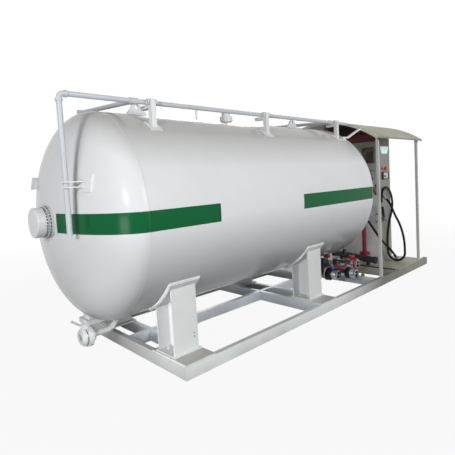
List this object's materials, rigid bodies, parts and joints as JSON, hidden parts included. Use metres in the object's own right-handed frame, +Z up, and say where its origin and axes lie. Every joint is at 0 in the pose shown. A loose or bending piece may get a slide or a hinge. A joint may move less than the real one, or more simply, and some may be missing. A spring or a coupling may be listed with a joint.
{
  "type": "lpg skid station",
  "caption": "Horizontal gas tank with dished ends on a steel channel skid, with spray pipes over it, a pump with filling couplings, and a barrel-roofed canopy over a hose dispenser cabinet.",
  "frame": {"origin": "middle of the station's outline, on the floor under the skid", "axes": "+X along the tank towards the dispenser, -Y the side where the hoses hang, +Z up"},
  "size_m": [5.692, 1.8, 2.3223],
  "materials": {
    "tank_white": "gloss",
    "fitting_white": "satin",
    "skid_paint": "satin",
    "deck_paint": "satin",
    "canopy_sheet": "satin",
    "cabinet_paint": "satin",
    "header_maroon": "gloss",
    "lamp_glass": "gloss",
    "control_plastic": "gloss",
    "fitting_steel": "satin",
    "valve_brass": "satin",
    "hose_rubber": "matt",
    "nozzle_black": "matt",
    "pipe_black": "satin",
    "machine_paint": "satin",
    "pipe_red": "satin",
    "lever_red": "satin"
  },
  "bodies": {
    "root": {"brass_valve": "valve_brass", "cabinet_controls": "control_plastic", "cabinet_lamp": "lamp_glass", "canopy_brace": "fitting_white", "canopy_post_left_far": "fitting_white", "canopy_post_left_near": "fitting_white", "canopy_post_right_far": "fitting_white", "canopy_post_right_near": "fitting_white", "canopy_roof": "canopy_sheet", "centre_beams": "skid_paint", "coupling_levers": "lever_red", "cross_beams": "skid_paint", "deck_plate": "deck_paint", "dispenser_cabinet": "cabinet_paint", "dispenser_hose": "hose_rubber", "drain_pad": "fitting_white", "drain_pipe": "fitting_white", "drain_union": "fitting_white", "end_beam_left": "skid_paint", "filling_couplings": "fitting_steel", "filling_header": "machine_paint", "gutter_tray": "deck_paint", "head_block": "fitting_white", "header_panel": "header_maroon", "hose_swivels": "fitting_steel", "lifting_lug_1": "fitting_white", "lifting_lug_2": "fitting_white", "motor": "machine_paint", "nozzle_cap": "fitting_white", "nozzle_flange": "fitting_white", "nozzle_gun": "nozzle_black", "nozzle_holster": "nozzle_black", "pressure_gauge": "nozzle_black", "pump": "machine_paint", "pump_plate": "skid_paint", "red_pipe": "pipe_red", "return_pipe": "pipe_black", "riser_bracket": "fitting_white", "saddle_1_leg_far": "fitting_white", "saddle_1_leg_near": "fitting_white", "saddle_2_leg_far": "fitting_white", "saddle_2_leg_near": "fitting_white", "saddle_base_plates": "skid_paint", "saddle_pads": "fitting_white", "side_hose": "hose_rubber", "side_hose_end": "fitting_steel", "skid_rail_far": "skid_paint", "skid_rail_near": "skid_paint", "spray_cross_pipes": "fitting_white", "spray_main_far": "fitting_white", "spray_main_near": "fitting_white", "spray_riser": "fitting_white", "spray_supports": "fitting_white", "tank_barrel": "tank_white", "tank_head_left": "tank_white", "tank_head_right": "tank_white", "top_valves": "fitting_white"}
  },
  "joints": []
}
